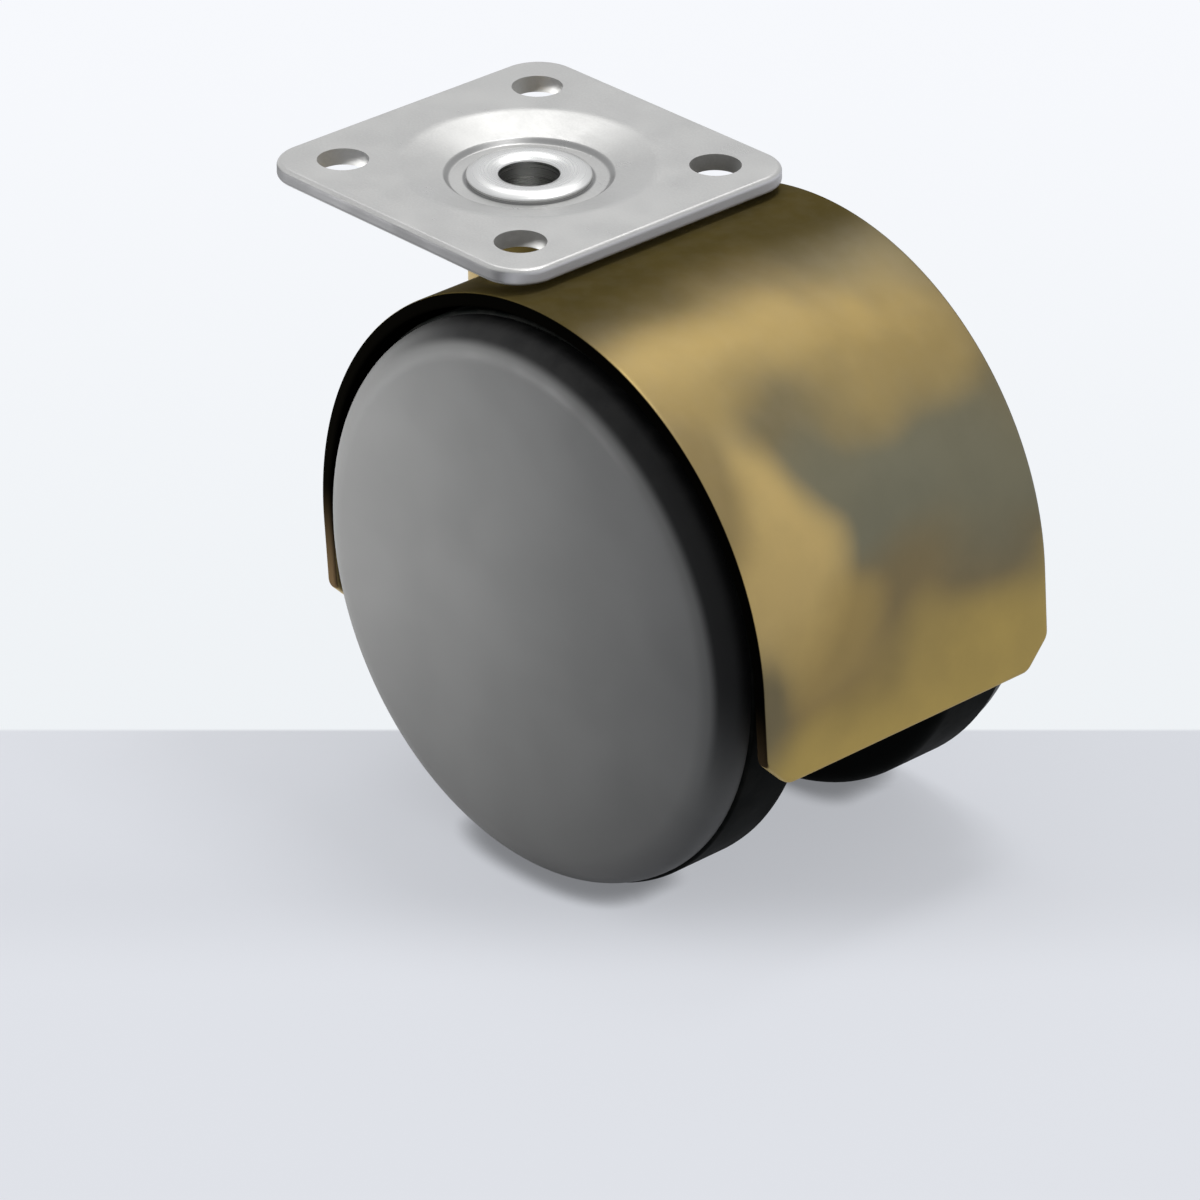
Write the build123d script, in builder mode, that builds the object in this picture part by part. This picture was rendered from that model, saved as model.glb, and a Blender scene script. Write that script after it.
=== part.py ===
from build123d import *
from math import cos, radians, sin
import os

os.makedirs("parts", exist_ok=True)

# A hooded twin wheel castor with a square top plate, in millimetres.
# The origin is the middle of the plate's mounting face, on the swivel axis. +Z is up, +X is the
# side on which the wheels trail, and Y is the wheels' axis.

# Wheels: two of them, either side of the body, each with a soft tread and a disc cover
wheel_radius = 30.0
wheel_width = 12.5
wheel_gap = 19.8            # between the inner planes of the two wheels
trail = 22.2                # from the swivel axis back to the wheels' axis
tread_depth = 3.6           # from the wheel's radius in to the rim that the tread sits on
rim_wall = 2.0
rim_bead_height = 0.8       # the bead that keys the tread to the rim
rim_bead_width = 3.0
tread_set_in = 0.4          # tread's inner side, from the wheel's inner plane
tread_corner_radius = 1.4
hub_radius = 6.4
wheel_web_set_in = 1.2      # the wheel's web, from its inner plane
wheel_web_thickness = 1.6
wheel_rib_count = 10        # behind the disc cover
wheel_rib_thickness = 1.3
cover_face_thickness = 1.5
cover_edge_radius = 3.8     # the rounded rim of the disc cover
cover_inset = 0.35          # how much smaller than the tread the cover is
cover_lip_wall = 1.3
cover_lip_depth = 1.4       # past the cover's shoulder, into the rim

# Axle, pressed into the body, and what holds a wheel on each end
axle_radius = 3.0
axle_chamfer = 0.5
axle_end_length = 1.8       # what stands out past each hub, for the push-on cap
spacer_thickness = 0.8
spacer_radius = 5.6
push_cap_wall = 0.5
push_cap_flange = 1.8

# Hood body: one casting, an arched shell with flat skirts, tilted back about its own centre
hood_wall = 1.3
hood_clearance = 1.1        # from the tread's radius to the inside of the hood
hood_skirt = 10.3           # the flat skirts below the arch
hood_tilt = 4.5             # degrees
hood_below = 0.36           # from the axle down to the arch's centre
hood_corner_cut = 3.0       # off each lower corner of the skirts
hood_corner_radius = 1.6    # rounding at the ends of that cut
hood_edge_radius = 0.45
wheel_proud = 2.8           # how far each wheel's face stands out of the hood
web_thickness = 3.2
web_foot = 1.6              # web's lower edge, above the ends of the skirts
body_rib_thickness = 1.8
body_rib_reach = 6.2        # how far the ribs reach sideways from the middle
axle_boss_radius = 6.6
tie_rise = 7.0              # of the rib that ties the two bosses, above the kingpin boss's foot
boss_root_radius = 1.2      # cast fillet where the kingpin boss leaves the hood

# Top plate, pressed from sheet with its middle dished for the kingpin
plate_side = 38.6
plate_corner_radius = 4.5
plate_thickness = 1.8
plate_edge_radius = 0.55
plate_hood_gap = 0.56       # under the plate, to the top of the hood
screw_pitch = 26.5
screw_hole_radius = 2.65
dish_radius = 13.1
dish_slope_width = 4.4
dish_slope_depth = 1.2
dish_step_width = 0.6
dish_step_depth = 0.5
dish_bend_radius = 3.0
dish_step_bend_radius = 0.25

# Kingpin: a turned stem whose hollow tail is rolled over in the dish
kingpin_radius = 4.3
kingpin_bore_radius = 3.1
kingpin_bore_depth = 7.0
kingpin_roll_width = 2.1    # how far the rolled tail spreads past the stem
kingpin_roll_height = 0.9
kingpin_roll_rise = 0.45     # of the roll's steep edges, below its crown
kingpin_roll_edge_radius = 0.18
kingpin_flange_radius = 6.1
kingpin_flange_thickness = 1.6
kingpin_flange_chamfer = 0.3
kingpin_tip_length = 1.9
kingpin_tip_chamfer = 0.8
groove_depth = 0.7

# Swivel bearing
bush_wall = 0.6
bush_length = 22.0
boss_wall = 1.3
thrust_washer_thickness = 0.9
foot_washer_thickness = 0.8
foot_washer_width = 2.4
ring_thickness = 1.0
ring_width = 1.5
ring_gap_angle = 40.0       # degrees

# Clearances
running_clearance = 0.05    # radial, between a shaft and its bore
thrust_gap = 0.1            # between flat faces that turn on each other
cap_clearance = 0.5         # between an axle's cap and the back of the disc cover
pocket_clearance = 1.4      # around the kingpin's flange, in the hood
groove_play = 0.1
scoop_clearance = 1.0       # round the kingpin's foot, in the body's web
cover_fit = 0.05

# Places that follow from the sizes above
rim_radius = wheel_radius - tread_depth
hood_inner_radius = wheel_radius + hood_clearance
hood_outer_radius = hood_inner_radius + hood_wall
hood_centre_z = -(plate_thickness + plate_hood_gap + hood_outer_radius)
axle_z = hood_centre_z + hood_below
wheel_inner = wheel_gap / 2
wheel_outer = wheel_inner + wheel_width
hood_half_width = wheel_outer - wheel_proud
cover_back = wheel_outer - cover_face_thickness
axle_half_length = cover_back - cap_clearance - push_cap_wall
hub_outer = axle_half_length - axle_end_length
axle_boss_half = wheel_inner - spacer_thickness - thrust_gap

dish_depth = dish_slope_depth + dish_step_depth
dish_rim_radius = dish_radius + dish_bend_radius / 2
dish_slope_foot = dish_radius - dish_slope_width
dish_floor_radius = dish_slope_foot - dish_step_width
flange_top = -(dish_depth + plate_thickness)
flange_foot = flange_top - kingpin_flange_thickness
thrust_washer_top = flange_foot - thrust_gap
boss_top = thrust_washer_top - thrust_washer_thickness
boss_foot = boss_top - bush_length
foot_washer_top = boss_foot - thrust_gap
ring_top = foot_washer_top - foot_washer_thickness
ring_foot = ring_top - ring_thickness
kingpin_foot = ring_foot - groove_play - kingpin_tip_length
bush_bore_radius = kingpin_radius + running_clearance
bush_radius = bush_bore_radius + bush_wall
boss_radius = bush_radius + boss_wall
groove_radius = kingpin_radius - groove_depth
foot_washer_radius = bush_bore_radius + foot_washer_width
tie_height = boss_foot + tie_rise

# Planes. The hood's own plane leans back with its tilt. A wheel's section is drawn with the distance
# from the middle of the castor as its first coordinate and the radius as its second.
axle_axis = Axis((trail, 0, axle_z), (0, 1, 0))
hood_plane = Plane(
    origin=(trail, 0, hood_centre_z),
    x_dir=(cos(radians(hood_tilt)), 0, sin(radians(hood_tilt))),
    z_dir=(0, -1, 0),
)


def wheel_section_plane(side):
    """The plane of a wheel's section, for the side at +Y (1) or -Y (-1)."""
    return Plane(origin=(trail, 0, axle_z), x_dir=(0, side, 0), z_dir=(side, 0, 0))


def wheel_face_plane(side, distance):
    """A plane across the axle, facing outwards, at a distance from the middle of the castor."""
    return Plane(origin=(trail, side * distance, axle_z), x_dir=(1, 0, 0), z_dir=(0, side, 0))


def export_piece(builder, name):
    builder.part.label = name
    export_step(builder.part, f"parts/{name}.step")


# Top plate: a flat square with rounded corners and four screw holes
with BuildPart() as top_plate:
    with BuildSketch(Plane.XY.offset(-plate_thickness)):
        RectangleRounded(plate_side, plate_side, plate_corner_radius)
        with GridLocations(screw_pitch, screw_pitch, 2, 2):
            Circle(screw_hole_radius, mode=Mode.SUBTRACT)
        Circle(dish_rim_radius, mode=Mode.SUBTRACT)
    extrude(amount=plate_thickness)
    upper_rim = top_plate.faces().sort_by(Axis.Z)[-1].outer_wire().edges()
    fillet(upper_rim, radius=plate_edge_radius)
    lower_rim = top_plate.faces().sort_by(Axis.Z)[0].outer_wire().edges()
    fillet(lower_rim, radius=plate_edge_radius)
    # the dished middle, turned about the swivel axis
    with BuildSketch(Plane.XZ):
        with BuildLine():
            FilletPolyline(
                (kingpin_radius, -dish_depth),
                (dish_floor_radius, -dish_depth),
                (dish_slope_foot, -dish_slope_depth),
                (dish_radius, 0),
                (dish_rim_radius, 0),
                (dish_rim_radius, -plate_thickness),
                (dish_radius, -plate_thickness),
                (dish_slope_foot, -dish_slope_depth - plate_thickness),
                (dish_floor_radius, -dish_depth - plate_thickness),
                (kingpin_radius, -dish_depth - plate_thickness),
                radius=[
                    0,
                    dish_step_bend_radius,
                    dish_step_bend_radius,
                    dish_bend_radius,
                    0,
                    0,
                    dish_bend_radius,
                    dish_step_bend_radius,
                    dish_step_bend_radius,
                    0,
                ],
                close=True,
            )
        make_face()
    revolve(axis=Axis.Z)
export_piece(top_plate, "top_plate")

# Kingpin: stem, flange, ring groove, and the tail rolled over on the floor of the dish
roll_outer = kingpin_radius + kingpin_roll_width
roll_middle = (kingpin_bore_radius + roll_outer) / 2
roll_edge_z = -dish_depth + kingpin_roll_rise
with BuildPart() as kingpin:
    with BuildSketch(Plane.XZ):
        with BuildLine():
            Polyline(
                (kingpin_bore_radius, roll_edge_z),
                (kingpin_bore_radius, flange_top - kingpin_bore_depth + kingpin_bore_radius / 2),
                (0, flange_top - kingpin_bore_depth),
                (0, kingpin_foot),
                (kingpin_radius - kingpin_tip_chamfer, kingpin_foot),
                (kingpin_radius, kingpin_foot + kingpin_tip_chamfer),
                (kingpin_radius, ring_foot - groove_play),
                (groove_radius, ring_foot - groove_play),
                (groove_radius, ring_top),
                (kingpin_radius, ring_top),
                (kingpin_radius, flange_foot),
                (kingpin_flange_radius - kingpin_flange_chamfer, flange_foot),
                (kingpin_flange_radius, flange_foot + kingpin_flange_chamfer),
                (kingpin_flange_radius, flange_top - kingpin_flange_chamfer),
                (kingpin_flange_radius - kingpin_flange_chamfer, flange_top),
                (kingpin_radius, flange_top),
                (kingpin_radius, -dish_depth),
                (roll_outer, -dish_depth),
                (roll_outer, roll_edge_z),
            )
            ThreePointArc(
                (roll_outer, roll_edge_z),
                (roll_middle, -dish_depth + kingpin_roll_height),
                (kingpin_bore_radius, roll_edge_z),
            )
        make_face()
    revolve(axis=Axis.Z)
    # the highest edge is the seam over the roll's crown, and its two rims come next
    roll_rims = kingpin.edges().group_by(Axis.Z)[-2]
    fillet(roll_rims, radius=kingpin_roll_edge_radius)
export_piece(kingpin, "kingpin")

# Spring ring in the kingpin's groove, open at the front
ring_inner = groove_radius + running_clearance
with BuildPart() as retaining_ring:
    with BuildSketch(Plane.XY.offset(ring_foot)):
        Circle(ring_inner + ring_width)
        Circle(ring_inner, mode=Mode.SUBTRACT)
        with BuildLine():
            mouth = 2 * (ring_inner + ring_width)
            half_mouth = radians(ring_gap_angle / 2)
            Polyline(
                (0, 0),
                (-mouth * cos(half_mouth), mouth * sin(half_mouth)),
                (-mouth * cos(half_mouth), -mouth * sin(half_mouth)),
                close=True,
            )
        make_face(mode=Mode.SUBTRACT)
    extrude(amount=ring_thickness)
export_piece(retaining_ring, "retaining_ring")

# Washer on the spring ring, which carries the body when the castor is lifted
with BuildPart() as foot_washer:
    with BuildSketch(Plane.XY.offset(ring_top)):
        Circle(foot_washer_radius)
        Circle(bush_bore_radius, mode=Mode.SUBTRACT)
    extrude(amount=foot_washer_thickness)
export_piece(foot_washer, "foot_washer")

# Hardened washer under the kingpin's flange, which carries the load
with BuildPart() as thrust_washer:
    with BuildSketch(Plane.XY.offset(boss_top)):
        Circle(boss_radius)
        Circle(bush_bore_radius, mode=Mode.SUBTRACT)
    extrude(amount=thrust_washer_thickness)
export_piece(thrust_washer, "thrust_washer")

# Sleeve pressed into the kingpin boss
with BuildPart() as swivel_bush:
    with BuildSketch(Plane.XY.offset(boss_foot)):
        Circle(bush_radius)
        Circle(bush_bore_radius, mode=Mode.SUBTRACT)
    extrude(amount=bush_length)
export_piece(swivel_bush, "swivel_bush")

# Hood body: the arched shell
with BuildPart() as hood_body:
    with BuildSketch(hood_plane):
        with BuildLine():
            Line((-hood_outer_radius, -hood_skirt), (-hood_outer_radius, 0))
            ThreePointArc((-hood_outer_radius, 0), (0, hood_outer_radius), (hood_outer_radius, 0))
            Line((hood_outer_radius, 0), (hood_outer_radius, -hood_skirt))
            Line((hood_outer_radius, -hood_skirt), (hood_inner_radius, -hood_skirt))
            Line((hood_inner_radius, -hood_skirt), (hood_inner_radius, 0))
            ThreePointArc((hood_inner_radius, 0), (0, hood_inner_radius), (-hood_inner_radius, 0))
            Line((-hood_inner_radius, 0), (-hood_inner_radius, -hood_skirt))
            Line((-hood_inner_radius, -hood_skirt), (-hood_outer_radius, -hood_skirt))
        make_face()
    extrude(amount=hood_half_width, both=True)
    skirt_corners = hood_body.edges().filter_by(Axis((0, 0, 0), hood_plane.x_dir))
    chamfer(skirt_corners, length=hood_corner_cut)
    cut_ends = hood_body.edges().filter_by(Axis((0, 0, 0), hood_plane.x_dir))
    fillet(cut_ends, radius=hood_corner_radius)
    seams = hood_body.edges().filter_by(Axis((0, 0, 0), hood_plane.x_dir))
    arch_seams = hood_body.edges().filter_by(Axis.Y).filter_by(
        lambda edge: abs(hood_plane.to_local_coords(edge.center()).Y) < hood_wall
    )
    fillet(hood_body.edges() - seams - arch_seams, radius=hood_edge_radius)

    # boss for the kingpin, inside and above the hood, with a cast fillet where it leaves the hood
    with BuildSketch(Plane.XY.offset(boss_foot)):
        Circle(boss_radius)
    extrude(amount=-boss_foot - plate_thickness)
    boss_wall_face = hood_body.faces().filter_by(GeomType.CYLINDER).filter_by(
        lambda face: face.center().Z > boss_foot
        and abs(face.axis_of_rotation.direction.Z) > 0.9
    ).sort_by(Axis.Z)[-1]
    root_edges = boss_wall_face.edges().filter_by(
        lambda edge: edge.geom_type not in (GeomType.LINE, GeomType.CIRCLE)
    )
    fillet(root_edges, radius=boss_root_radius)

    # web between the wheels, which fills the arch from wall to wall, open below the kingpin boss
    # so that the kingpin's ring can be put on from beneath
    scoop_radius = foot_washer_radius + scoop_clearance
    boss_foot_point = hood_plane.to_local_coords(Vector(0, 0, boss_foot))
    scoop_rear = boss_foot_point.X + scoop_radius
    with BuildSketch(hood_plane):
        Circle(hood_inner_radius + hood_wall / 2)
        with Locations((0, -hood_skirt / 2 + web_foot / 2)):
            Rectangle(2 * hood_inner_radius + hood_wall, hood_skirt - web_foot)
        with Locations((0, -hood_inner_radius - hood_skirt + web_foot)):
            Rectangle(4 * hood_inner_radius, 2 * hood_inner_radius, mode=Mode.SUBTRACT)
        with Locations(((scoop_rear - hood_outer_radius) / 2, (boss_foot_point.Y - hood_skirt) / 2)):
            Rectangle(
                scoop_rear + hood_outer_radius,
                boss_foot_point.Y + hood_skirt,
                mode=Mode.SUBTRACT,
            )
    extrude(amount=web_thickness / 2, both=True)

    # boss for the axle
    with BuildSketch(Plane(origin=(trail, 0, axle_z), x_dir=(1, 0, 0), z_dir=(0, 1, 0))):
        Circle(axle_boss_radius)
    extrude(amount=axle_boss_half, both=True)

    # stiffening ribs: up to the crown and back to the rear skirt, and a tie to the kingpin boss
    with BuildSketch(hood_plane):
        with Locations((hood_inner_radius / 2, 0)):
            Rectangle(hood_inner_radius + hood_wall, body_rib_thickness)
        with Locations((0, hood_inner_radius / 2)):
            Rectangle(body_rib_thickness, hood_inner_radius + hood_wall)
    extrude(amount=body_rib_reach, both=True)
    with BuildSketch(Plane(origin=(0, 0, 0), x_dir=(1, 0, 0), z_dir=(0, -1, 0))):
        with BuildLine():
            Polyline(
                (boss_radius / 2, tie_height),
                (boss_radius / 2, tie_height - body_rib_thickness),
                (trail, axle_z - body_rib_thickness / 2),
                (trail, axle_z + body_rib_thickness / 2),
                close=True,
            )
        make_face()
    extrude(amount=body_rib_reach, both=True)

    # bores for the bush and the axle, the pocket for the kingpin's flange, and room for its foot
    with BuildSketch(Plane.XY.offset(boss_foot)):
        Circle(scoop_radius)
    extrude(amount=-hood_inner_radius, mode=Mode.SUBTRACT)
    with BuildSketch(Plane.XY.offset(boss_foot)):
        Circle(bush_radius)
    extrude(amount=bush_length, mode=Mode.SUBTRACT)
    with BuildSketch(Plane.XY.offset(boss_top)):
        Circle(kingpin_flange_radius + pocket_clearance)
    extrude(amount=-boss_top, mode=Mode.SUBTRACT)
    with BuildSketch(Plane(origin=(trail, 0, axle_z), x_dir=(1, 0, 0), z_dir=(0, 1, 0))):
        Circle(axle_radius)
    extrude(amount=axle_boss_half, both=True, mode=Mode.SUBTRACT)
export_piece(hood_body, "hood_body")

# Axle pin, pressed into the body
with BuildPart() as axle:
    with BuildSketch(Plane(origin=(trail, 0, axle_z), x_dir=(1, 0, 0), z_dir=(0, 1, 0))):
        Circle(axle_radius)
    extrude(amount=axle_half_length, both=True)
    chamfer(axle.edges().filter_by(GeomType.CIRCLE), length=axle_chamfer)
export_piece(axle, "axle")

# The same set of pieces on each side
rim_inner_radius = rim_radius - rim_wall
cover_radius = wheel_radius - cover_inset
cover_shoulder = wheel_outer - cover_edge_radius
cover_lip_radius = rim_inner_radius - cover_fit
bead_middle = (wheel_inner + tread_set_in + cover_shoulder) / 2
web_inner = wheel_inner + wheel_web_set_in
web_outer = web_inner + wheel_web_thickness
cover_lip_end = cover_shoulder - cover_lip_depth
cover_back_edge_radius = cover_edge_radius - cover_face_thickness
edge_middle = cover_radius - cover_edge_radius
rib_outer = min(hub_outer, cover_lip_end) - thrust_gap
for side_name, side in (("left", 1), ("right", -1)):
    section_plane = wheel_section_plane(side)

    # wheel: rim with a bead for the tread, web, hub and the ribs that the cover hides
    with BuildPart() as wheel:
        with BuildSketch(section_plane):
            with BuildLine():
                Polyline(
                    (wheel_inner + tread_set_in, rim_inner_radius),
                    (wheel_inner + tread_set_in, rim_radius),
                    (bead_middle - rim_bead_width / 2, rim_radius),
                    (bead_middle - rim_bead_width / 2, rim_radius + rim_bead_height),
                    (bead_middle + rim_bead_width / 2, rim_radius + rim_bead_height),
                    (bead_middle + rim_bead_width / 2, rim_radius),
                    (cover_shoulder, rim_radius),
                    (cover_shoulder, rim_inner_radius),
                    (web_outer, rim_inner_radius),
                    (web_outer, hub_radius),
                    (hub_outer, hub_radius),
                    (hub_outer, axle_radius + running_clearance),
                    (wheel_inner, axle_radius + running_clearance),
                    (wheel_inner, hub_radius),
                    (web_inner, hub_radius),
                    (web_inner, rim_inner_radius),
                    close=True,
                )
            make_face()
        revolve(axis=axle_axis)
        with BuildSketch(wheel_face_plane(side, web_inner)):
            with PolarLocations((hub_radius + rim_inner_radius) / 2, wheel_rib_count):
                Rectangle(rim_inner_radius - hub_radius + rim_wall, wheel_rib_thickness)
        extrude(amount=rib_outer - web_inner)
    export_piece(wheel, f"wheel_{side_name}")

    # soft tread, moulded round the rim
    with BuildPart() as tread:
        with BuildSketch(section_plane):
            with BuildLine():
                FilletPolyline(
                    (wheel_inner + tread_set_in, rim_radius),
                    (wheel_inner + tread_set_in, wheel_radius),
                    (cover_shoulder, wheel_radius),
                    (cover_shoulder, rim_radius),
                    (bead_middle + rim_bead_width / 2, rim_radius),
                    (bead_middle + rim_bead_width / 2, rim_radius + rim_bead_height),
                    (bead_middle - rim_bead_width / 2, rim_radius + rim_bead_height),
                    (bead_middle - rim_bead_width / 2, rim_radius),
                    radius=[0, tread_corner_radius, cover_inset, 0, 0, 0, 0, 0],
                    close=True,
                )
            make_face()
        revolve(axis=axle_axis)
    export_piece(tread, f"tread_{side_name}")

    # disc cover: a flat face with a rounded edge of even wall, and a lip that snaps into the rim
    with BuildPart() as cover:
        with BuildSketch(section_plane):
            with BuildLine():
                Line((wheel_outer, 0), (wheel_outer, edge_middle))
                CenterArc((cover_shoulder, edge_middle), cover_edge_radius, 0, 90)
                Line((cover_shoulder, cover_radius), (cover_shoulder, cover_radius - cover_face_thickness))
                CenterArc((cover_shoulder, edge_middle), cover_back_edge_radius, 90, -90)
                Polyline(
                    (cover_back, edge_middle),
                    (cover_back, cover_lip_radius),
                    (cover_lip_end, cover_lip_radius),
                    (cover_lip_end, cover_lip_radius - cover_lip_wall),
                    (cover_back, cover_lip_radius - cover_lip_wall),
                    (cover_back, 0),
                    (wheel_outer, 0),
                )
            make_face()
        revolve(axis=axle_axis)
    export_piece(cover, f"wheel_cover_{side_name}")

    # spacer between the body's axle boss and the hub
    with BuildPart() as spacer:
        with BuildSketch(wheel_face_plane(side, axle_boss_half)):
            Circle(spacer_radius)
            Circle(axle_radius, mode=Mode.SUBTRACT)
        extrude(amount=spacer_thickness)
    export_piece(spacer, f"spacer_washer_{side_name}")

    # push-on cap that grips the end of the axle and keeps the wheel on
    cap_foot = hub_outer + thrust_gap
    with BuildPart() as push_cap:
        with BuildSketch(section_plane):
            with BuildLine():
                Polyline(
                    (cap_foot, axle_radius),
                    (cap_foot, axle_radius + push_cap_flange),
                    (cap_foot + push_cap_wall, axle_radius + push_cap_flange),
                    (cap_foot + push_cap_wall, axle_radius + push_cap_wall),
                    (axle_half_length + push_cap_wall, axle_radius + push_cap_wall),
                    (axle_half_length + push_cap_wall, 0),
                    (axle_half_length, 0),
                    (axle_half_length, axle_radius),
                    close=True,
                )
            make_face()
        revolve(axis=axle_axis)
    export_piece(push_cap, f"push_cap_{side_name}")
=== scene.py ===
"""Finishes for every piece of the twin wheel castor, and a plain studio round it.

Lengths are in metres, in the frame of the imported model: the swivel axis is Z, the wheels' axle lies
along Y, and the mounting face of the plate is at z = 0.
"""

import logging
import math
from dataclasses import dataclass, field, replace
from enum import Enum

import bmesh
import bpy
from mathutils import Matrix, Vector


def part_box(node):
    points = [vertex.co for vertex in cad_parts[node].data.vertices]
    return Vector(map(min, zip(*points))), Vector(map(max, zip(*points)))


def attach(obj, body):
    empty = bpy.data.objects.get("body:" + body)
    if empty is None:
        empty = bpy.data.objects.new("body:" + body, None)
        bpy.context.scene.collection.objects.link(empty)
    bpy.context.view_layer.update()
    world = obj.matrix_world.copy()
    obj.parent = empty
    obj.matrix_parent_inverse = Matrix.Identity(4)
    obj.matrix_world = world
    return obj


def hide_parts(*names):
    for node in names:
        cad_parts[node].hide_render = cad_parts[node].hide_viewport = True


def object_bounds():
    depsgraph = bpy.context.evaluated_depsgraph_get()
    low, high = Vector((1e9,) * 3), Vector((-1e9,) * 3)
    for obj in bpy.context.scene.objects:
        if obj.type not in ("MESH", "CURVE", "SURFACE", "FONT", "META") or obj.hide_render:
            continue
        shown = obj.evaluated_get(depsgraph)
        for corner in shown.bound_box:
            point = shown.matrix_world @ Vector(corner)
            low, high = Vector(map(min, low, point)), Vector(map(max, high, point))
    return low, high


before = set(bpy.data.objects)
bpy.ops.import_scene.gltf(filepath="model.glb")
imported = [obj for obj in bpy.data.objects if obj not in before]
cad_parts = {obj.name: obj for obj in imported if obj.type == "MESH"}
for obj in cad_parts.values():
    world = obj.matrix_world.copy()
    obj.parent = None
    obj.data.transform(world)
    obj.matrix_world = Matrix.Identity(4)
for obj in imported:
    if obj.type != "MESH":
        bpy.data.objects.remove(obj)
CAD_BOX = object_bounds()

LOG = logging.getLogger("castor")

MM = 0.001
Colour = tuple[float, float, float]
Triple = tuple[float, float, float]
Socket = bpy.types.NodeSocket
Outputs = bpy.types.NodeOutputs
Node = bpy.types.Node
Piece = bpy.types.Object


class Axis(Enum):
    """The axis that a turned piece is turned about."""

    SWIVEL = (0.0, 0.0, 1.0)
    AXLE = (0.0, 1.0, 0.0)


class Side(Enum):
    """A wheel of the pair, with its sign along Y."""

    LEFT = 1
    RIGHT = -1

    @property
    def word(self) -> str:
        """The side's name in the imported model."""
        return self.name.lower()


def opaque(colour: Colour) -> tuple[float, float, float, float]:
    """The colour with an alpha of one."""
    return (*colour, 1.0)


def tinted(colour: Colour, factor: float) -> Colour:
    """The colour, lighter or darker by a factor."""
    return tuple(min(1.0, channel * factor) for channel in colour)


class Tree:
    """Adds nodes to one shader or group tree, and joins them."""

    # the sockets of the mix node that serve for colours
    FIRST_COLOUR, SECOND_COLOUR, MIXED_COLOUR = 6, 7, 2

    def __init__(self, tree: bpy.types.NodeTree) -> None:
        """Starts on a tree.

        Args:
            tree: the material's, world's or group's node tree.
        """
        self.tree = tree

    def add(self, kind: str, inputs: dict | None = None, **settings: object) -> Node:
        """Adds one node.

        Args:
            kind: Blender's name for the node type.
            inputs: the value of each input by name or index, or the socket that feeds it.
            **settings: properties of the node itself.

        Returns:
            The new node.
        """
        node = self.tree.nodes.new(kind)
        for name, value in settings.items():
            setattr(node, name, value)
        for name, value in (inputs or {}).items():
            self.feed(node.inputs[name], value)
        return node

    def feed(self, socket: Socket, value: object) -> None:
        """Joins a socket to the one that feeds it, or sets its own value."""
        if isinstance(value, Socket):
            self.tree.links.new(value, socket)
        else:
            socket.default_value = value

    def sum(self, operation: str, *values: object) -> Socket:
        """One step of arithmetic on numbers or sockets, by Blender's name for it."""
        return self.add("ShaderNodeMath", dict(enumerate(values)), operation=operation).outputs[0]

    def times(self, first: object, second: object) -> Socket:
        """One number times another."""
        return self.sum("MULTIPLY", first, second)

    def vector(self, operation: str, *values: object) -> Socket:
        """One step of arithmetic on vectors that gives a vector."""
        return self.add("ShaderNodeVectorMath", dict(enumerate(values)), operation=operation).outputs[0]

    def measure(self, operation: str, *values: object) -> Socket:
        """One step of arithmetic on vectors that gives a number."""
        return self.add("ShaderNodeVectorMath", dict(enumerate(values)), operation=operation).outputs["Value"]

    def scaled(self, vector: object, factor: object) -> Socket:
        """A vector or a colour, times a number."""
        return self.add("ShaderNodeVectorMath", {0: vector, "Scale": factor}, operation="SCALE").outputs[0]

    def split(self, vector: object) -> Outputs:
        """The X, Y and Z of a vector."""
        return self.add("ShaderNodeSeparateXYZ", {0: vector}).outputs

    def noise(self, place: object, scale: object, detail: float, **more: float) -> Node:
        """A noise at a place, with so many repeats to the metre."""
        return self.add("ShaderNodeTexNoise", {"Vector": place, "Scale": scale, "Detail": detail, **more})

    def blend(self, factor: object, first: object, second: object) -> Socket:
        """Mixes two colours.

        Args:
            factor: 0 gives the first, 1 the second.
            first: a colour or a socket.
            second: a colour or a socket.

        Returns:
            The mixed colour's socket.
        """
        inputs = {0: factor, self.FIRST_COLOUR: first, self.SECOND_COLOUR: second}
        return self.add("ShaderNodeMix", inputs, data_type="RGBA").outputs[self.MIXED_COLOUR]

    def ease(self, value: object, low: object, high: object, start: float = 0.0, end: float = 1.0) -> Socket:
        """A smooth step.

        Args:
            value: the number or socket that is read.
            low: where the step begins, as a number or a socket.
            high: where it ends.
            start: the result below low.
            end: the result above high.

        Returns:
            The socket with the result.
        """
        inputs = {"Value": value, "From Min": low, "From Max": high, "To Min": start, "To Max": end}
        return self.add("ShaderNodeMapRange", inputs, interpolation_type="SMOOTHSTEP").outputs[0]

    def place(self) -> Socket:
        """The point's place in the piece's own frame."""
        return self.add("ShaderNodeTexCoord").outputs["Object"]

    def facing(self) -> Outputs:
        """The X, Y and Z of the surface's direction in the piece's own frame."""
        return self.split(self.add("ShaderNodeTexCoord").outputs["Normal"])


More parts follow.
